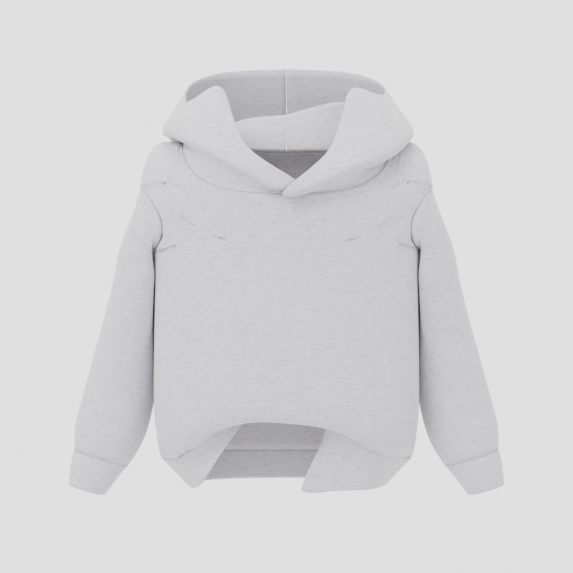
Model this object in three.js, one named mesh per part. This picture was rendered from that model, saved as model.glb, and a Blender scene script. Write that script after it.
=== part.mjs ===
// A toddler's pullover hoodie in heavy sweatshirt cloth, hollow, in the pose that it has when it is worn.
// Millimetres, +Z up, the front faces -Y. The origin lies between the shoulder ridges, where it hangs.
// Each cut piece is a wall of cloth on a grid of mid-surface points. The torso is a stack of rounded
// rings with a domed roof. Sleeves, hood and bands start at its edges, so that the seams meet.
import * as THREE from "three";

const CLOTH = 2.2; // thickness of the brushed sweatshirt cloth
const SEAM_GAP = 0.45; // between two pieces at a seam
const CLEAR = 1.6; // air between the torso and a sleeve or the hood that lies on it

const ROOF_FOOT = -70; // height where the torso's wall starts to bend over to the shoulders
const ROOF_RISE = 72; // from there to the shoulder ridge
const ROOF_ARC = 115; // cloth between the same two lines
const RIDGE_HALF = 143; // half width of the shoulder ridge
const ROOF_HALF = 168; // half width at the roof's foot, over the upper arms
const ROOF_FRONT = 74;
const ROOF_BACK = 72;
const RING_POWER = 2.4; // 2 is an ellipse, more is squarer

const ARMHOLE_TOP = 22; // cloth above the roof's foot
const ARMHOLE_LOW = -54; // cloth below it, at the underarm
const ARMHOLE_OPEN = THREE.MathUtils.degToRad(33); // how far it reaches round from the side

const HOOD_EDGE_TURN = THREE.MathUtils.degToRad(53); // torso angle where the neckline meets the ridge

// The torso's rings. height in mm, half width at the sides, depth to the front and to the back.
const TORSO = [
  { height: -360, half: 143, front: 74, back: 74 },
  { height: -345, half: 148, front: 84, back: 80 },
  { height: -322, half: 151, front: 90, back: 82 },
  { height: -280, half: 152, front: 89, back: 81 },
  { height: -220, half: 151, front: 84, back: 79 },
  { height: -165, half: 151, front: 79, back: 77 },
  { height: -124, half: 152, front: 76, back: 74 },
  { height: -100, half: 158, front: 75, back: 73 },
  { height: -70, half: 168, front: 74, back: 72 },
];

// The neckline on the roof: cloth above the roof's foot, by the torso angle from the centre, in degrees.
const NECK_FRONT = [
  { turn: 0, up: 14 },
  { turn: 15, up: 17 },
  { turn: 28, up: 27 },
  { turn: 38, up: 46 },
  { turn: 46, up: 76 },
  { turn: 53, up: 115 },
];
const NECK_BACK = [
  { turn: 0, up: 76 },
  { turn: 18, up: 79 },
  { turn: 34, up: 88 },
  { turn: 45, up: 101 },
  { turn: 53, up: 115 },
];

// The lower front: where the panel bulges over, and the seam that hides under the roll, left to right.
const ROLL = [
  { across: -1, start: -352, drop: 0, seamSide: -143, seamBack: 0, seamUp: -360 },
  { across: -0.8, start: -344, drop: 0, seamSide: -124, seamBack: -48, seamUp: -356 },
  { across: -0.6, start: -328, drop: 12, seamSide: -100, seamBack: -56, seamUp: -336 },
  { across: -0.4, start: -306, drop: 18, seamSide: -70, seamBack: -66, seamUp: -306 },
  { across: -0.15, start: -294, drop: 19, seamSide: -26, seamBack: -66, seamUp: -292 },
  { across: 0.1, start: -298, drop: 19, seamSide: 18, seamBack: -66, seamUp: -294 },
  { across: 0.28, start: -306, drop: 18, seamSide: 52, seamBack: -66, seamUp: -310 },
  { across: 0.5, start: -316, drop: 16, seamSide: 80, seamBack: -64, seamUp: -330 },
  { across: 0.75, start: -332, drop: 8, seamSide: 114, seamBack: -52, seamUp: -350 },
  { across: 1, start: -352, drop: 0, seamSide: 143, seamBack: 0, seamUp: -360 },
];

// The free edge of the front waistband, left to right: it hangs at both sides and is tucked up between.
const FRONT_HEM = [
  { across: -1, side: -113, back: 0, up: -392 },
  { across: -0.85, side: -108, back: -28, up: -391 },
  { across: -0.7, side: -98, back: -43, up: -389 },
  { across: -0.56, side: -76, back: -54, up: -352 },
  { across: -0.42, side: -52, back: -53, up: -318 },
  { across: -0.15, side: -22, back: -48, up: -272 },
  { across: 0.08, side: 16, back: -48, up: -272 },
  { across: 0.22, side: 46, back: -50, up: -318 },
  { across: 0.3, side: 34, back: -52, up: -352 },
  { across: 0.38, side: 15, back: -54, up: -390 },
  { across: 0.58, side: 58, back: -54, up: -392 },
  { across: 0.8, side: 96, back: -42, up: -392 },
  { across: 1, side: 113, back: 0, up: -392 },
];
const BACK_HEM = { half: 113, back: 62, up: -392 };

// A sleeve's rings below its head. out is the outer edge's distance from the centre, wide its width.
const SLEEVE = [
  { height: -150, out: 198, wide: 66, deep: 92, back: 16 },
  { height: -195, out: 210, wide: 76, deep: 90, back: 26 },
  { height: -250, out: 226, wide: 82, deep: 84, back: 32 },
  { height: -300, out: 239, wide: 84, deep: 78, back: 30 },
  { height: -330, out: 246, wide: 83, deep: 74, back: 26 },
  { height: -350, out: 248, wide: 74, deep: 66, back: 23 },
  { height: -362, out: 246, wide: 62, deep: 54, back: 21 },
];
const CUFF = [
  { height: -362, out: 246, wide: 62, deep: 54, back: 21 },
  { height: -370, out: 249, wide: 58, deep: 54, back: 20 },
  { height: -384, out: 251, wide: 50, deep: 50, back: 18 },
  { height: -399, out: 252, wide: 41, deep: 45, back: 16 },
];
const CUFF_TILT = 0.3; // the cuff and its seam are higher on the outer side, as a slope

// The hood is lofted through five lines that run from its front end to the centre of the back:
// its neck seam, the stand round the neck, the fold where it turns up, its belly and its free edge.
// turn goes from 0 at the front end to 1 at the back. side is the distance from the middle.
const HOOD_RIGHT = {
  stand: [
    { turn: 0, side: -1, back: -75, up: -50 },
    { turn: 0.12, side: 18, back: -75, up: -50 },
    { turn: 0.3, side: 78, back: -66, up: -30 },
    { turn: 0.46, side: 108, back: -40, up: -6 },
    { turn: 0.58, side: 112, back: -8, up: 13 },
    { turn: 0.7, side: 82, back: 26, up: 14 },
    { turn: 0.84, side: 50, back: 54, up: 30 },
    { turn: 1, side: 0, back: 62, up: 36 },
  ],
  fold: [
    { turn: 0, side: -4, back: -79, up: -50 },
    { turn: 0.12, side: 14, back: -79, up: -51 },
    { turn: 0.3, side: 73, back: -74, up: -21 },
    { turn: 0.46, side: 110, back: -50, up: -1 },
    { turn: 0.58, side: 130, back: -14, up: 8 },
    { turn: 0.7, side: 132, back: 34, up: 4 },
    { turn: 0.84, side: 84, back: 87, up: -68 },
    { turn: 0.94, side: 34, back: 98, up: -86 },
    { turn: 1, side: 0, back: 99, up: -88 },
  ],
  belly: [
    { turn: 0, side: -7, back: -82, up: -48 },
    { turn: 0.12, side: 13, back: -85, up: -49 },
    { turn: 0.3, side: 71, back: -82, up: -16 },
    { turn: 0.46, side: 110, back: -58, up: 5 },
    { turn: 0.58, side: 134, back: -16, up: 17 },
    { turn: 0.7, side: 137, back: 32, up: 18 },
    { turn: 0.84, side: 100, back: 110, up: -14 },
    { turn: 0.94, side: 42, back: 134, up: -24 },
    { turn: 1, side: 0, back: 138, up: -26 },
  ],
  rim: [
    { turn: 0, side: -14, back: -81, up: -45 },
    { turn: 0.07, side: -8, back: -81, up: -39 },
    { turn: 0.18, side: 25, back: -80, up: -19 },
    { turn: 0.3, side: 49, back: -68, up: 2 },
    { turn: 0.4, side: 62, back: -48, up: 36 },
    { turn: 0.5, side: 76, back: -26, up: 70 },
    { turn: 0.6, side: 112, back: 0, up: 46 },
    { turn: 0.7, side: 115, back: 36, up: 68 },
    { turn: 0.84, side: 82, back: 90, up: 86 },
    { turn: 0.94, side: 34, back: 109, up: 91 },
    { turn: 1, side: 0, back: 112, up: 92 },
  ],
};
const HOOD_LEFT = {
  stand: [
    { turn: 0, side: -1, back: -81, up: -57 },
    { turn: 0.12, side: 22, back: -79, up: -54 },
    { turn: 0.3, side: 74, back: -68, up: -38 },
    { turn: 0.46, side: 104, back: -44, up: 0 },
    { turn: 0.58, side: 92, back: -4, up: 36 },
    { turn: 0.7, side: 66, back: 32, up: 52 },
    { turn: 0.84, side: 34, back: 54, up: 46 },
    { turn: 1, side: 0, back: 62, up: 36 },
  ],
  fold: [
    { turn: 0, side: -2, back: -86, up: -59 },
    { turn: 0.12, side: 24, back: -86, up: -55 },
    { turn: 0.3, side: 76, back: -80, up: -33 },
    { turn: 0.46, side: 116, back: -60, up: -17 },
    { turn: 0.58, side: 141, back: -18, up: 5 },
    { turn: 0.7, side: 138, back: 34, up: 4 },
    { turn: 0.84, side: 84, back: 87, up: -68 },
    { turn: 0.94, side: 34, back: 98, up: -86 },
    { turn: 1, side: 0, back: 99, up: -88 },
  ],
  belly: [
    { turn: 0, side: -4, back: -90, up: -58 },
    { turn: 0.12, side: 24, back: -93, up: -49 },
    { turn: 0.3, side: 76, back: -88, up: -25 },
    { turn: 0.46, side: 116, back: -66, up: -8 },
    { turn: 0.58, side: 143, back: -20, up: 14 },
    { turn: 0.7, side: 138, back: 32, up: 20 },
    { turn: 0.84, side: 100, back: 110, up: -14 },
    { turn: 0.94, side: 42, back: 134, up: -24 },
    { turn: 1, side: 0, back: 138, up: -26 },
  ],
  rim: [
    { turn: 0, side: -5, back: -91, up: -55 },
    { turn: 0.07, side: 6, back: -92, up: -44 },
    { turn: 0.18, side: 30, back: -86, up: -25 },
    { turn: 0.3, side: 50, back: -70, up: -4 },
    { turn: 0.4, side: 63, back: -48, up: 34 },
    { turn: 0.5, side: 73, back: -26, up: 66 },
    { turn: 0.6, side: 108, back: 0, up: 54 },
    { turn: 0.7, side: 114, back: 36, up: 68 },
    { turn: 0.84, side: 82, back: 90, up: 86 },
    { turn: 0.94, side: 34, back: 109, up: 91 },
    { turn: 1, side: 0, back: 112, up: 92 },
  ],
};
const HOOD_UNDER_START = THREE.MathUtils.degToRad(0.6); // the right half's front end lies under the left's
const HOOD_STEPS = 16;
const HOOD_SHOULDER = 0.62; // share of the hood's length at which it passes the shoulder ridge
const HOOD_TURN_IN = 5; // the hood's first cloth goes on towards the neck before it rises

const range = (count) => Array.from({ length: count + 1 }, (_, i) => i / count);
const mix = THREE.MathUtils.lerp;
const vector = (x, y, z) => new THREE.Vector3(x, y, z);
const signedPower = (value, power) => Math.sign(value) * Math.abs(value) ** power;

// Reads one column of a table at any place between its rows, on a smooth curve through them.
function reading(rows, key, at, column) {
  const last = rows.length - 1;
  const way = Math.sign(rows[last][key] - rows[0][key]);
  let i = 0;
  while (i < last - 1 && (at - rows[i + 1][key]) * way > 0) i++;
  const slope = (j) => {
    const a = rows[Math.max(j - 1, 0)];
    const b = rows[Math.min(j + 1, last)];
    return (b[column] - a[column]) / (b[key] - a[key]);
  };
  const span = rows[i + 1][key] - rows[i][key];
  const t = THREE.MathUtils.clamp((at - rows[i][key]) / span, 0, 1);
  const [t2, t3] = [t * t, t * t * t];
  return (
    (2 * t3 - 3 * t2 + 1) * rows[i][column] +
    (t3 - 2 * t2 + t) * span * slope(i) +
    (3 * t2 - 2 * t3) * rows[i + 1][column] +
    (t3 - t2) * span * slope(i + 1)
  );
}

// The torso's ring: up is cloth above the roof's foot, so it is negative on the straight wall.
function ring(up) {
  if (up <= 0) {
    const height = ROOF_FOOT + up;
    const read = (column) => reading(TORSO, "height", height, column);
    return { height, half: read("half"), front: read("front"), back: read("back") };
  }
  const bend = (Math.min(up / ROOF_ARC, 1) * Math.PI) / 2;
  return {
    height: ROOF_FOOT + ROOF_RISE * Math.sin(bend),
    half: mix(RIDGE_HALF, ROOF_HALF, Math.cos(bend)),
    front: ROOF_FRONT * Math.cos(bend),
    back: ROOF_BACK * Math.cos(bend),
  };
}

// A point of the torso. turn is 0 at the centre of the front, a quarter turn at the side and a half at
// the back, and positive on the wearer's left.
function torsoPoint(turn, up) {
  const { height, half, front, back } = ring(up);
  const depth = Math.cos(turn) > 0 ? front : back;
  return vector(
    half * signedPower(Math.sin(turn), 2 / RING_POWER),
    -depth * signedPower(Math.cos(turn), 2 / RING_POWER),
    height,
  );
}

// The outward direction there, from the slopes of the same formula.
function torsoNormal(turn, up) {
  const step = 0.02;
  const safeUp = Math.min(up, ROOF_ARC - 1.2);
  const quarter = Math.PI / 2;
  const nearest = Math.round(turn / quarter) * quarter;
  const safeTurn = Math.abs(turn - nearest) < step ? nearest : turn;
  const along = torsoPoint(safeTurn + step, safeUp).sub(torsoPoint(safeTurn - step, safeUp));
  const rise = torsoPoint(safeTurn, safeUp + 1).sub(torsoPoint(safeTurn, safeUp - 1));
  return along.cross(rise).normalize();
}

// Moves a point out sideways until it is clear of the torso's outer face.
function clearOfTorso(point, room) {
  const up = point.z - ROOF_FOOT;
  const { half, front, back } = ring(
    up <= 0 ? up : (Math.asin(Math.min(up / ROOF_RISE, 1)) * ROOF_ARC) / (Math.PI / 2),
  );
  const depth = (point.y < 0 ? front : back) + room;
  const share =
    (Math.abs(point.x) / (half + room)) ** RING_POWER + (Math.abs(point.y) / depth) ** RING_POWER;
  if (share >= 1 || share === 0) return point;
  const grow = share ** (-1 / RING_POWER);
  return vector(point.x * grow, point.y * grow, point.z);
}

// The direction across the cloth at a point of a grid.
function gridNormal(grid, i, j, round = false) {
  const [rows, columns] = [grid.length, grid[0].length];
  const at = (row, column) => {
    const k = round ? (column + columns) % columns : THREE.MathUtils.clamp(column, 0, columns - 1);
    return grid[THREE.MathUtils.clamp(row, 0, rows - 1)][k];
  };
  const across = at(i, j + 1).clone().sub(at(i, j - 1));
  const along = at(i + 1, j).clone().sub(at(i - 1, j));
  return across.cross(along).normalize();
}

// The same direction, or its opposite where that is the one on the other's side.
const alike = (direction, other) =>
  direction.clone().multiplyScalar(direction.dot(other) < 0 ? -1 : 1);

// The directions halfway between two grids that share an edge: row i of the one is row k of the other.
function mitre(one, i, other, k, round = false) {
  return one[0].map((_, j) => {
    const a = gridNormal(one, i, j, round);
    const b = gridNormal(other, k, j, round);
    if (a.dot(b) < 0) b.negate();
    return a.add(b).normalize();
  });
}

// The closed wall round a grid of mid-surface points. round says that the last column meets the first.
// faces may change the direction across the wall at an edge, so that two pieces meet face to face.
function wall(grid, { round = false, faces = () => null } = {}) {
  const rows = grid.length;
  const columns = grid[0].length;
  const out = [];
  const inner = [];
  for (let i = 0; i < rows; i++) {
    for (let j = 0; j < columns; j++) {
      const own = gridNormal(grid, i, j, round);
      const way = faces(i, j, own)?.clone().normalize() ?? own;
      out.push(grid[i][j].clone().addScaledVector(way, CLOTH / 2));
      inner.push(grid[i][j].clone().addScaledVector(way, -CLOTH / 2));
    }
  }
  const spots = [...out, ...inner];
  const index = [];
  const under = rows * columns;
  const quad = (a, b, c, d) => index.push(a, b, c, a, c, d);
  const id = (i, j) => i * columns + (j % columns);
  const spans = round ? columns : columns - 1;
  for (let i = 0; i < rows - 1; i++) {
    for (let j = 0; j < spans; j++) {
      const [a, b, c, d] = [id(i, j), id(i, j + 1), id(i + 1, j + 1), id(i + 1, j)];
      const [p, q, r, s] = !round && j < spans / 2 ? [b, c, d, a] : [a, b, c, d];
      quad(p, q, r, s);
      quad(under + r, under + q, under + p, under + s);
    }
  }
  for (let j = 0; j < spans; j++) {
    const [a, b] = [id(0, j), id(0, j + 1)];
    const [c, d] = [id(rows - 1, j), id(rows - 1, j + 1)];
    quad(b, a, under + a, under + b);
    quad(c, d, under + d, under + c);
  }
  for (let i = 0; i < rows - 1 && !round; i++) {
    const [a, b] = [id(i, 0), id(i + 1, 0)];
    const [c, d] = [id(i, columns - 1), id(i + 1, columns - 1)];
    quad(a, b, under + b, under + a);
    quad(d, c, under + c, under + d);
  }
  const geometry = new THREE.BufferGeometry();
  geometry.setAttribute(
    "position",
    new THREE.Float32BufferAttribute(spots.flatMap((p) => p.toArray()), 3),
  );
  geometry.setIndex(index);
  return geometry;
}

// Draws the edges of a grid in, square to each edge, so that a gap is left at each seam.
function trimmed(grid, { round = false } = {}) {
  const drawn = (edge, inside) =>
    edge.map((p, k) => {
      const count = edge.length;
      const next = edge[round ? (k + 1) % count : Math.min(k + 1, count - 1)];
      const before = edge[round ? (k + count - 1) % count : Math.max(k - 1, 0)];
      const along = next.clone().sub(before).normalize();
      const into = inside[k].clone().sub(p);
      into.addScaledVector(along, -into.dot(along)).setLength(SEAM_GAP / 2);
      return p.clone().add(into);
    });
  const rows = grid.length;
  const made = grid.map((row) => row.map((p) => p.clone()));
  made[0] = drawn(grid[0], grid[1]);
  made[rows - 1] = drawn(grid[rows - 1], grid[rows - 2]);
  if (round) return made;
  const end = grid[0].length - 1;
  const column = (j) => made.map((row) => row[j]);
  const [first, last] = [drawn(column(0), column(1)), drawn(column(end), column(end - 1))];
  made.forEach((row, i) => {
    row[0] = first[i];
    row[end] = last[i];
  });
  return made;
}

// A piece of the garment, turned right side out.
function piece(name, geometry, colour) {
  const spots = geometry.getAttribute("position");
  const index = geometry.getIndex().array;
  const corner = [0, 1, 2].map(() => vector(0, 0, 0));
  let volume = 0;
  for (let i = 0; i < index.length; i += 3) {
    corner.forEach((c, k) => c.fromBufferAttribute(spots, index[i + k]));
    volume += corner[0].dot(corner[1].clone().cross(corner[2]));
  }
  if (volume < 0) {
    for (let i = 0; i < index.length; i += 3) {
      [index[i + 1], index[i + 2]] = [index[i + 2], index[i + 1]];
    }
  }
  geometry.computeVertexNormals();
  const cloth = new THREE.MeshStandardMaterial({ color: colour, roughness: 0.95, metalness: 0 });
  const mesh = new THREE.Mesh(geometry, cloth);
  mesh.name = name;
  return mesh;
}

// The torso's side edge, from the waist seam over the armhole to the end of the ridge: the cloth height
// and the torso angle of each row. The armhole's rows are those of the sleeve's ring.
const ARM_STEPS = 9;
function sideRows(waist, wallRows, capRows) {
  const middle = (ARMHOLE_TOP + ARMHOLE_LOW) / 2;
  const reach = (ARMHOLE_TOP - ARMHOLE_LOW) / 2;
  const below = range(wallRows).map((t) => ({ up: mix(waist, ARMHOLE_LOW, t), turn: Math.PI / 2 }));
  const armhole = range(ARM_STEPS)
    .slice(1)
    .map((t) => ({
      up: middle - reach * Math.cos(Math.PI * t),
      turn: Math.PI / 2 - ARMHOLE_OPEN * Math.sin(Math.PI * t),
    }));
  const above = range(capRows)
    .slice(1)
    .map((t) => ({ up: mix(ARMHOLE_TOP, ROOF_ARC, t), turn: Math.PI / 2 }));
  return [...below, ...armhole, ...above];
}

// Where the columns of a body panel lie, from side to side. The hood shares those of the neckline.
const FRONT_NECK_STEPS = 12;
const BACK_NECK_STEPS = 8;
function columnsAcross(neckSteps) {
  const neck = HOOD_EDGE_TURN / (Math.PI / 2);
  const left = range(4).map((t) => mix(-1, -neck, t));
  const centre = range(2 * neckSteps).slice(1).map((t) => mix(-neck, neck, t));
  const right = range(4).slice(1).map((t) => mix(neck, 1, t));
  return [...left, ...centre, ...right];
}

const neckUp = (table, turn) => {
  const degrees = Math.abs(THREE.MathUtils.radToDeg(turn));
  const end = THREE.MathUtils.radToDeg(HOOD_EDGE_TURN);
  return degrees >= end - 1e-6 ? ROOF_ARC : reading(table, "turn", degrees, "up");
};

// The grid of a body panel, from the given lower edge to the neckline and the shoulder ridge.
function panelGrid({ table, facing, columns, rows, waistAt }) {
  const sideTop = rows.length - 1;
  const low = rows[0].up;
  const rise = ROOF_ARC - low;
  const spots = [];
  const turns = [];
  for (let i = 0; i <= sideTop; i++) {
    const t = (rows[i].up - low) / rise;
    spots.push([]);
    turns.push([]);
    for (const u of columns) {
      const up = mix(waistAt(u), neckUp(table, (u * Math.PI) / 2), t);
      const round = facing === "front" ? u * rows[i].turn : Math.PI - u * rows[i].turn;
      spots[i].push(torsoPoint(round, up));
      turns[i].push({ turn: round, up });
    }
  }
  return { spots, turns };
}

// The front: a plain panel that blouses at the bottom and rolls under to the waist seam.
const ROLL_STEPS = 5;
function front() {
  const columns = columnsAcross(FRONT_NECK_STEPS);
  const rows = sideRows(-282, 7, 4);
  const waistAt = (u) => reading(ROLL, "across", u, "start") - ROOF_FOOT;
  const { spots, turns } = panelGrid({ table: NECK_FRONT, facing: "front", columns, rows, waistAt });
  const roll = range(ROLL_STEPS)
    .slice(0, -1)
    .map((t) =>
      columns.map((u, j) => {
        const read = (column) => reading(ROLL, "across", u, column);
        const seam = vector(read("seamSide"), read("seamBack"), read("seamUp"));
        const start = spots[0][j];
        const low = read("drop") * 1.33;
        const down = vector(start.x, start.y, start.z - low);
        const under = vector(seam.x, seam.y, Math.min(seam.z, start.z) - low * 0.9);
        return new THREE.CubicBezierCurve3(seam, under, down, start).getPoint(t);
      }),
    );
  const grid = [...roll, ...spots];
  const faces = (i, j, own) => {
    const row = i - ROLL_STEPS;
    const side = j === 0 || j === columns.length - 1;
    if (row < 0) return side ? own.setY(0) : null;
    if (!side && row < turns.length - 1) return null;
    return alike(torsoNormal(turns[row][j].turn, turns[row][j].up), own);
  };
  return { grid, faces, columns };
}

function back() {
  const columns = columnsAcross(BACK_NECK_STEPS);
  const rows = sideRows(-290, 7, 4);
  const waistAt = () => -290;
  const { spots, turns } = panelGrid({ table: NECK_BACK, facing: "back", columns, rows, waistAt });
  const faces = (i, j, own) => {
    const edge = j === 0 || j === columns.length - 1 || i === turns.length - 1;
    return edge ? alike(torsoNormal(turns[i][j].turn, turns[i][j].up), own) : null;
  };
  return { grid: spots, faces, columns };
}

// The tucked front of the waistband, from the seam under the roll to its free edge. Where it turns back
// at the seam it lies behind the panel's end, and elsewhere it meets it edge to edge.
const BAND_STEPS = 5;
const bandHem = (u) =>
  vector(...["side", "back", "up"].map((column) => reading(FRONT_HEM, "across", u, column)));
function turnedBack(panel, j) {
  const seam = panel.grid[0][j];
  const onward = seam.clone().sub(panel.grid[1][j]).normalize();
  const down = bandHem(panel.columns[j]).sub(seam).normalize();
  return THREE.MathUtils.smoothstep(-onward.dot(down), -0.95, -0.3);
}

function frontBand(panel) {
  return range(BAND_STEPS).map((t) =>
    panel.columns.map((u, j) => {
      const seam = panel.grid[0][j].clone();
      seam.y += (CLOTH + 3 * SEAM_GAP) * turnedBack(panel, j);
      seam.z += bandHem(u).z < seam.z ? -BAND_ROOM : BAND_ROOM;
      const made = seam.lerp(bandHem(u), t);
      made.y += BAND_BOW * Math.sin(Math.PI * t) * turnedBack(panel, j);
      return made;
    }),
  );
}

function backBand(panel) {
  return range(3).map((t) =>
    panel.columns.map((u, j) => {
      const turn = Math.PI - (u * Math.PI) / 2;
      const hem = vector(
        BACK_HEM.half * signedPower(Math.sin(turn), 2 / RING_POWER),
        -BACK_HEM.back * signedPower(Math.cos(turn), 2 / RING_POWER),
        BACK_HEM.up,
      );
      return panel.grid[0][j].clone().lerp(hem, t);
    }),
  );
}

// A ring of a sleeve or cuff. angle is 0 on the outer edge, a quarter at the front. side is 1 or -1.
function armRing(table, height, angle, side) {
  const read = (column) => reading(table, "height", height, column);
  const across = Math.cos(angle);
  const x = read("out") - (read("wide") / 2) * (1 - across);
  const tilt = THREE.MathUtils.smoothstep(-height, 280, 362) * CUFF_TILT;
  return vector(
    side * x,
    read("back") - (read("deep") / 2) * Math.sin(angle),
    height + tilt * (read("wide") / 2) * across,
  );
}

// The armhole's edge at the same angle, with the direction in which the torso's cloth would go on.
function armholePoint(angle, side) {
  const middle = (ARMHOLE_TOP + ARMHOLE_LOW) / 2;
  const reach = (ARMHOLE_TOP - ARMHOLE_LOW) / 2;
  const up = middle + reach * Math.cos(angle);
  const turn = side * (Math.PI / 2 - ARMHOLE_OPEN * Math.sin(angle));
  const spot = torsoPoint(turn, up);
  const centre = torsoPoint((side * Math.PI) / 2, middle);
  const normal = torsoNormal(turn, up);
  const onward = centre.sub(spot);
  onward.addScaledVector(normal, -onward.dot(normal)).normalize();
  spot.addScaledVector(onward, ARMHOLE_EASE * (1 - Math.cos(angle)));
  return { spot, normal, onward };
}

const BAND_ROOM = 0.4; // a little more room at the seam, up or down
const BAND_BOW = 5; // how far the turned-back band bows inwards
const ARMHOLE_EASE = 1.15; // half of the gap that is left at the underarm, where the cloth turns sharply
const ROUND_STEPS = 2 * ARM_STEPS;
const ARM_ANGLES = range(ROUND_STEPS).slice(0, -1).map((t) => t * 2 * Math.PI);
function sleeve(side) {
  const headRows = range(6);
  const armRows = range(8).slice(1);
  const [first, last] = [SLEEVE[0].height, SLEEVE[SLEEVE.length - 1].height];
  const grid = headRows.map((t) =>
    ARM_ANGLES.map((angle) => {
      const { spot, normal, onward } = armholePoint(angle, side);
      const open = (1 + Math.cos(angle)) / 2;
      const end = clearOfTorso(armRing(SLEEVE, first, angle, side), CLOTH + CLEAR);
      const early = spot
        .clone()
        .addScaledVector(onward, mix(12, 34, open))
        .addScaledVector(normal, mix(14, 1, open));
      const late = end.clone().add(vector(0, 0, mix(8, 34, open)));
      return new THREE.CubicBezierCurve3(spot, early, late, end).getPoint(t);
    }),
  );
  for (const t of armRows) {
    const height = mix(first, last, t);
    grid.push(ARM_ANGLES.map((angle) => armRing(SLEEVE, height, angle, side)));
  }
  const clear = grid.map((row, i) =>
    i < headRows.length - 1 ? row : row.map((p) => clearOfTorso(p, CLOTH + CLEAR)),
  );
  return { grid: clear, armhole: ARM_ANGLES.map((angle) => armholePoint(angle, side).normal) };
}

function cuff(side) {
  const [first, last] = [CUFF[0].height, CUFF[CUFF.length - 1].height];
  return range(3).map((t) =>
    ARM_ANGLES.map((angle) => armRing(CUFF, mix(first, last, t), angle, side)),
  );
}

// Half of the hood: columns from its front end round to the back seam, rows from the neck seam to the
// free edge. Its first column lies over or under the other half's at the front.
function hood(lines, side, frontTurn, startIn) {
  const forward = range(FRONT_NECK_STEPS).map((t) => ({
    turn: t * HOOD_SHOULDER,
    table: NECK_FRONT,
    angle: t === 0 ? frontTurn : t * HOOD_EDGE_TURN,
  }));
  const behind = range(BACK_NECK_STEPS)
    .slice(1)
    .map((t) => ({ turn: mix(HOOD_SHOULDER, 1, t), table: NECK_BACK, angle: (1 - t) * HOOD_EDGE_TURN }));
  const profiles = [...forward, ...behind].map(({ turn, table, angle }) => {
    const up = neckUp(table, angle);
    const round = side * (table === NECK_FRONT ? angle : Math.PI - angle);
    const seam = torsoPoint(round, up);
    const normal = torsoNormal(round, up);
    const inward = torsoPoint(round, Math.min(up + 4, ROOF_ARC)).sub(seam);
    if (inward.length() < 2) inward.set(-Math.sign(seam.x), 0, 0);
    inward.normalize();
    const line = (name) => {
      const read = (column) => reading(lines[name], "turn", turn, column);
      const spot = vector(side * read("side"), read("back"), read("up"));
      return name === "rim" ? spot : clearOfTorso(spot, CLOTH + CLEAR);
    };
    const into = mix(startIn, HOOD_TURN_IN, THREE.MathUtils.smoothstep(turn, 0.05, 0.25));
    const neck = seam.clone().addScaledVector(inward, into);
    const points = [seam, neck, line("stand"), line("fold"), line("belly"), line("rim")];
    return { curve: new THREE.CatmullRomCurve3(points, false, "centripetal"), normal };
  });
  const grid = range(HOOD_STEPS).map((t) => profiles.map(({ curve }) => curve.getPoint(t)));
  const faces = (i, j, own) => {
    if (i === 0) return alike(profiles[j].normal, own);
    return j === profiles.length - 1 ? own.setX(0) : null;
  };
  return { grid, faces };
}

const GREY = 0xd3d1d6;
const garment = new THREE.Group();
const add = (name, grid, options = {}) =>
  garment.add(piece(name, wall(trimmed(grid, options), options), GREY));

const frontPanel = front();
const backPanel = back();
const bandFront = frontBand(frontPanel);
const bandBack = backBand(backPanel);
const waistFront = mitre(frontPanel.grid, 0, bandFront, 0);
const waistBack = mitre(backPanel.grid, 0, bandBack, 0);
const sideEnds = (grid) => (i, j, own) => (j === 0 || j === grid[0].length - 1 ? own.setY(0) : null);
const waistSeam = (directions, rest, turned = () => 0) => (i, j, own) => {
  if (i > 0 || turned(j) > 0) return rest(i, j, own);
  const end = j === 0 || j === directions.length - 1;
  return alike(end ? directions[j].clone().setY(0) : directions[j], own);
};
const turned = (j) => turnedBack(frontPanel, j);
add("front_panel", frontPanel.grid, { faces: waistSeam(waistFront, frontPanel.faces, turned) });
add("back_panel", backPanel.grid, { faces: waistSeam(waistBack, backPanel.faces) });
add("waistband_front", bandFront, { faces: waistSeam(waistFront, sideEnds(bandFront), turned) });
add("waistband_back", bandBack, { faces: waistSeam(waistBack, sideEnds(bandBack)) });
for (const [name, side] of [["left", 1], ["right", -1]]) {
  const tube = sleeve(side);
  const end = cuff(side);
  const last = tube.grid.length - 1;
  const wrist = mitre(tube.grid, last, end, 0, true);
  const outward = alike(tube.armhole[0], gridNormal(tube.grid, 0, 0, true)).dot(tube.armhole[0]);
  const sleeveFaces = (i, j, own) => {
    if (i === 0) return tube.armhole[j].clone().multiplyScalar(outward);
    return i === last ? alike(wrist[j], own) : null;
  };
  add(`sleeve_${name}`, tube.grid, { round: true, faces: sleeveFaces });
  add(`cuff_${name}`, end, { round: true, faces: (i, j, own) => (i === 0 ? alike(wrist[j], own) : null) });
}
const hoodRight = hood(HOOD_RIGHT, -1, HOOD_UNDER_START, HOOD_TURN_IN);
const hoodLeft = hood(HOOD_LEFT, 1, 0, 1.5);
add("hood_right", hoodRight.grid, { faces: hoodRight.faces });
add("hood_left", hoodLeft.grid, { faces: hoodLeft.faces });

export default garment;
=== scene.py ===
"""A toddler's pullover hoodie in light heather sweatshirt cloth, hollow, in the shape it has when it is worn.
Metres, +Z up, the front faces -Y. Each cut piece is a thin shell on the form of its solid, made finer and
pressed into soft folds."""
import math

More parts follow.
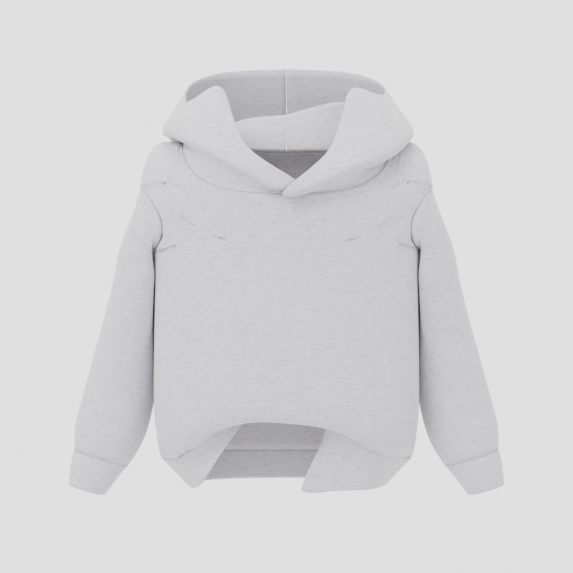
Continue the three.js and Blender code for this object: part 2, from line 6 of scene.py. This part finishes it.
import bmesh
import bpy
import numpy as np
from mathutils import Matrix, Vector


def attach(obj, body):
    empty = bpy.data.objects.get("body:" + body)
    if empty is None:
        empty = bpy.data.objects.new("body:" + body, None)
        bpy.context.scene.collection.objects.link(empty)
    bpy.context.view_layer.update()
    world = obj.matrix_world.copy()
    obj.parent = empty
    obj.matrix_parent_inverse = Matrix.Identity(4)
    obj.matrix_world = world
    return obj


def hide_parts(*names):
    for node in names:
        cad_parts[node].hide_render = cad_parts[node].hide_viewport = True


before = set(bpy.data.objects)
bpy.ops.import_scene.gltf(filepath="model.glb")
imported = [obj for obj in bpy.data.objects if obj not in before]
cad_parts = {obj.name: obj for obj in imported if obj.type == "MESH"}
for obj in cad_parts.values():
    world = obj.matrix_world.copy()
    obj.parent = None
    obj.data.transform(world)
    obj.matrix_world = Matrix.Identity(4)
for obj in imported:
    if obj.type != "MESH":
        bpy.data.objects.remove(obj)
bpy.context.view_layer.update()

MM = 0.001

# The cloth: brushed sweatshirt cloth, pale lilac grey, with short darker slub streaks that run across the
# garment, a fine grain and a soft bloom of raised fibre.
CLOTH_LIGHT = (0.42, 0.405, 0.432, 1)
CLOTH_SLUB = (0.27, 0.265, 0.29, 1)
SLUB_SCALE = (140.0, 140.0, 900.0)  # streaks per metre along each axis, so they lie flat
GRAIN_SCALE = 1400.0


def node(tree, kind, **inputs):
    made = tree.nodes.new(kind)
    for name, value in inputs.items():
        made.inputs[name.replace("_", " ")].default_value = value
    return made


def fleece(name, light, slub):
    """Base colour is slub to light by noise stretched across, times a fine grain, with sheen on top."""
    material = bpy.data.materials.new(name)
    material.use_nodes = True
    tree = material.node_tree
    link = tree.links.new
    shader = tree.nodes["Principled BSDF"]
    shader.inputs["Roughness"].default_value = 0.95
    shader.inputs["Specular IOR Level"].default_value = 0.15
    shader.inputs["Sheen Weight"].default_value = 0.25
    shader.inputs["Sheen Roughness"].default_value = 0.6
    place = tree.nodes.new("ShaderNodeTexCoord")
    stretch = node(tree, "ShaderNodeMapping", Scale=SLUB_SCALE)
    streaks = node(tree, "ShaderNodeTexNoise", Scale=1.0, Detail=3.0, Roughness=0.65)
    grain = node(tree, "ShaderNodeTexNoise", Scale=GRAIN_SCALE, Detail=2.0, Roughness=0.6)
    band = tree.nodes.new("ShaderNodeValToRGB")
    band.color_ramp.elements[0].position = 0.3
    band.color_ramp.elements[0].color = slub
    band.color_ramp.elements[1].position = 0.52
    band.color_ramp.elements[1].color = light
    fleck = tree.nodes.new("ShaderNodeMix")
    fleck.data_type = "RGBA"
    fleck.blend_type = "SOFT_LIGHT"
    fleck.inputs["Factor"].default_value = 0.35
    link(place.outputs["Object"], stretch.inputs["Vector"])
    link(stretch.outputs["Vector"], streaks.inputs["Vector"])
    link(place.outputs["Object"], grain.inputs["Vector"])
    link(streaks.outputs["Fac"], band.inputs["Fac"])
    link(band.outputs["Color"], fleck.inputs["A"])
    link(grain.outputs["Color"], fleck.inputs["B"])
    link(fleck.outputs["Result"], shader.inputs["Base Color"])
    bump = node(tree, "ShaderNodeBump", Strength=0.35, Distance=0.0006)
    link(grain.outputs["Fac"], bump.inputs["Height"])
    link(bump.outputs["Normal"], shader.inputs["Normal"])
    return material


face_cloth = fleece("fleece", CLOTH_LIGHT, CLOTH_SLUB)

# Finer shells. A piece's quads are smoothed twice, and its cut edges stay where they are.
SMOOTH_LEVELS = 2
CUT_EDGE = math.radians(50)  # faces that meet at more than this are at a cut edge


def finer(name):
    """The node's solid as one smooth mesh: triangles joined to quads, then subdivided."""
    mesh = bpy.data.meshes.new(name + "_cage")
    work = bmesh.new()
    work.from_mesh(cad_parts[name].data)
    bmesh.ops.remove_doubles(work, verts=work.verts, dist=1e-5)
    bmesh.ops.join_triangles(
        work,
        faces=work.faces,
        angle_face_threshold=math.radians(40),
        angle_shape_threshold=math.radians(70),
    )
    crease = work.edges.layers.float.new("crease_edge")
    for edge in work.edges:
        if edge.calc_face_angle(0) > CUT_EDGE:
            edge[crease] = 1.0
    work.to_mesh(mesh)
    work.free()
    cage = bpy.data.objects.new(name + "_cage", mesh)
    bpy.context.scene.collection.objects.link(cage)
    smooth = cage.modifiers.new("smooth", "SUBSURF")
    smooth.levels = SMOOTH_LEVELS
    smooth.render_levels = SMOOTH_LEVELS
    seen = cage.evaluated_get(bpy.context.evaluated_depsgraph_get())
    made = bpy.data.meshes.new_from_object(seen)
    bpy.data.objects.remove(cage)
    return made


def pressed(points, folds, centre):
    """Each fold moves points away from centre by depth * exp(-(d / wide)^2), d being the distance to its
    line, which is weakest at both ends, a little under half as deep there as at its middle. A negative depth
    is a trough."""
    out = points - centre
    out[:, 2] = 0
    out /= np.maximum(np.linalg.norm(out, axis=1), 1e-6)[:, None]
    moved = points.copy()
    for fold in folds:
        start = np.array(fold["start"]) * MM
        line = np.array(fold["end"]) * MM - start
        share = np.clip((points - start) @ line / (line @ line), 0, 1)
        gap = np.linalg.norm(points - start - share[:, None] * line, axis=1)
        taper = np.sin(np.pi * (0.15 + 0.7 * share))
        lift = fold["depth"] * MM * taper * np.exp(-((gap / (fold["wide"] * MM)) ** 2))
        moved += out * lift[:, None]
    return moved


def garment_piece(name, folds, centre):
    """A finished piece: its solid made finer and pressed into its folds."""
    mesh = finer(name)
    points = np.empty(len(mesh.vertices) * 3)
    mesh.vertices.foreach_get("co", points)
    points = pressed(points.reshape(-1, 3), folds, np.array(centre) * MM)
    mesh.vertices.foreach_set("co", points.ravel())
    mesh.polygons.foreach_set("use_smooth", np.ones(len(mesh.polygons), dtype=bool))
    mesh.materials.clear()
    mesh.materials.append(face_cloth)
    mesh.update()
    made = bpy.data.objects.new(name + "_cloth", mesh)
    bpy.context.scene.collection.objects.link(made)
    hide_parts(name)
    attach(made, "root")
    return made


# The front: plain cloth that blouses over the tucked hem band, with soft drag lines from the armholes and
# short creases where it gathers at the lower corners.
FRONT_FOLDS = [
    {"start": (-146, -30, -70), "end": (-104, -76, -118), "depth": -2.6, "wide": 8},
    {"start": (-148, -34, -96), "end": (-112, -74, -152), "depth": -2.0, "wide": 7},
    {"start": (146, -30, -68), "end": (100, -76, -112), "depth": -2.8, "wide": 8},
    {"start": (149, -34, -100), "end": (118, -72, -160), "depth": -2.2, "wide": 7},
    {"start": (-60, -80, -120), "end": (-20, -84, -235), "depth": 1.6, "wide": 22},
    {"start": (48, -80, -150), "end": (74, -84, -262), "depth": -1.6, "wide": 18},
    {"start": (-120, -70, -240), "end": (-92, -84, -322), "depth": -2.2, "wide": 12},
    {"start": (-62, -86, -268), "end": (-48, -90, -300), "depth": -1.8, "wide": 8},
    {"start": (20, -88, -262), "end": (14, -90, -300), "depth": -1.6, "wide": 9},
    {"start": (104, -76, -262), "end": (84, -86, -318), "depth": -2.4, "wide": 9},
    {"start": (-142, -40, -330), "end": (-112, -76, -338), "depth": -3.0, "wide": 6},
    {"start": (140, -40, -336), "end": (108, -78, -340), "depth": -3.0, "wide": 6},
]
garment_piece("front_panel", FRONT_FOLDS, (0, 0, 0))

# The back isn't seen: plain, with the same kind of drag lines and a little slack over the hem band.
BACK_FOLDS = [
    {"start": (-146, 32, -74), "end": (-100, 72, -122), "depth": -2.4, "wide": 8},
    {"start": (148, 30, -80), "end": (106, 70, -138), "depth": -2.2, "wide": 9},
    {"start": (-70, 76, -170), "end": (-34, 80, -280), "depth": 1.6, "wide": 20},
    {"start": (52, 78, -190), "end": (30, 80, -300), "depth": -1.8, "wide": 16},
    {"start": (-118, 66, -290), "end": (-70, 80, -338), "depth": -2.2, "wide": 9},
    {"start": (122, 64, -300), "end": (80, 78, -342), "depth": -2.0, "wide": 8},
]
garment_piece("back_panel", BACK_FOLDS, (0, 0, 0))

# The hem band, tucked up in front and hanging at both sides.
BAND_FOLDS = [
    {"start": (-104, -40, -384), "end": (-88, -52, -352), "depth": -1.6, "wide": 6},
    {"start": (62, -52, -386), "end": (78, -56, -346), "depth": -2.0, "wide": 8},
]
garment_piece("waistband_front", BAND_FOLDS, (0, 0, 0))
garment_piece("waistband_back", [], (0, 0, 0))

# The sleeves hang slightly bent. Creases lie across the front of the elbow and pile up above the cuffs.
SLEEVE_FOLDS = [
    {"start": (158, -22, -122), "end": (196, -34, -150), "depth": -2.8, "wide": 7},
    {"start": (164, -18, -160), "end": (206, -26, -182), "depth": -2.2, "wide": 8},
    {"start": (172, -12, -214), "end": (222, -14, -224), "depth": -3.0, "wide": 8},
    {"start": (180, -10, -244), "end": (226, -12, -262), "depth": 2.0, "wide": 9},
    {"start": (178, -8, -280), "end": (230, -10, -286), "depth": -2.4, "wide": 7},
    {"start": (190, -6, -316), "end": (240, -6, -308), "depth": -2.6, "wide": 6},
    {"start": (186, 62, -226), "end": (226, 60, -212), "depth": -2.2, "wide": 9},
    {"start": (190, 58, -298), "end": (236, 54, -290), "depth": -2.4, "wide": 8},
]


def mirrored(folds, drop):
    """The same folds on the wearer's right, each lower by drop so that the two sides differ."""
    return [
        dict(
            fold,
            start=(-fold["start"][0], fold["start"][1], fold["start"][2] - drop),
            end=(-fold["end"][0], fold["end"][1], fold["end"][2] - drop),
        )
        for fold in folds
    ]


garment_piece("sleeve_left", SLEEVE_FOLDS, (205, 24, 0))
garment_piece("sleeve_right", mirrored(SLEEVE_FOLDS, 9), (-205, 24, 0))
garment_piece("cuff_left", [], (228, 18, 0))
garment_piece("cuff_right", [], (-228, 18, 0))

# The hood in two halves with a centre seam, folded back. Slack lies in low ripples at the back inside.
HOOD_FOLDS = [
    {"start": (108, -40, 4), "end": (86, -52, -26), "depth": -2.4, "wide": 6},
    {"start": (10, 126, 20), "end": (72, 104, 12), "depth": -2.2, "wide": 7},
    {"start": (6, 128, 44), "end": (60, 110, 40), "depth": 1.8, "wide": 8},
    {"start": (20, 118, -46), "end": (84, 96, -40), "depth": -2.2, "wide": 9},
    {"start": (120, 20, 30), "end": (112, 66, 48), "depth": -2.0, "wide": 9},
]
garment_piece("hood_left", HOOD_FOLDS, (0, 20, 0))
garment_piece("hood_right", mirrored(HOOD_FOLDS, 5), (0, 20, 0))

# A plain pale backdrop all round, with soft light from the front left and above.
world = bpy.data.worlds.new("studio")
bpy.context.scene.world = world
world.use_nodes = True
world.node_tree.nodes["Background"].inputs["Color"].default_value = (1, 1, 1, 1)
world.node_tree.nodes["Background"].inputs["Strength"].default_value = 2.6

AIM = Vector((0, 0, -0.163))


def area_light(name, spot, power, size):
    """A square light at spot that faces the garment's middle."""
    data = bpy.data.lights.new(name, "AREA")
    data.energy = power
    data.size = size
    made = bpy.data.objects.new(name, data)
    bpy.context.scene.collection.objects.link(made)
    made.location = spot
    made.rotation_euler = (AIM - made.location).to_track_quat("-Z", "Y").to_euler()


area_light("key", (-1.1, -1.6, 1.7), 70, 0.8)
area_light("top", (0.1, -0.2, 2.0), 30, 1.0)

# The photo's view: level with the chest, a little above, from far off.
CAMERA_FAR = 2.6
CAMERA_RISE = math.radians(2.5)
PIXEL = 0.00115  # metres across one pixel of the 573 at the garment's middle
camera = bpy.data.cameras.new("camera")
camera.sensor_width = 36
camera.lens = 36 * CAMERA_FAR / (PIXEL * 573)
holder = bpy.data.objects.new("camera", camera)
bpy.context.scene.collection.objects.link(holder)
away = Vector((0, -math.cos(CAMERA_RISE), math.sin(CAMERA_RISE)))
holder.location = AIM + away * CAMERA_FAR
holder.rotation_euler = (-away).to_track_quat("-Z", "Y").to_euler()
bpy.context.scene.camera = holder
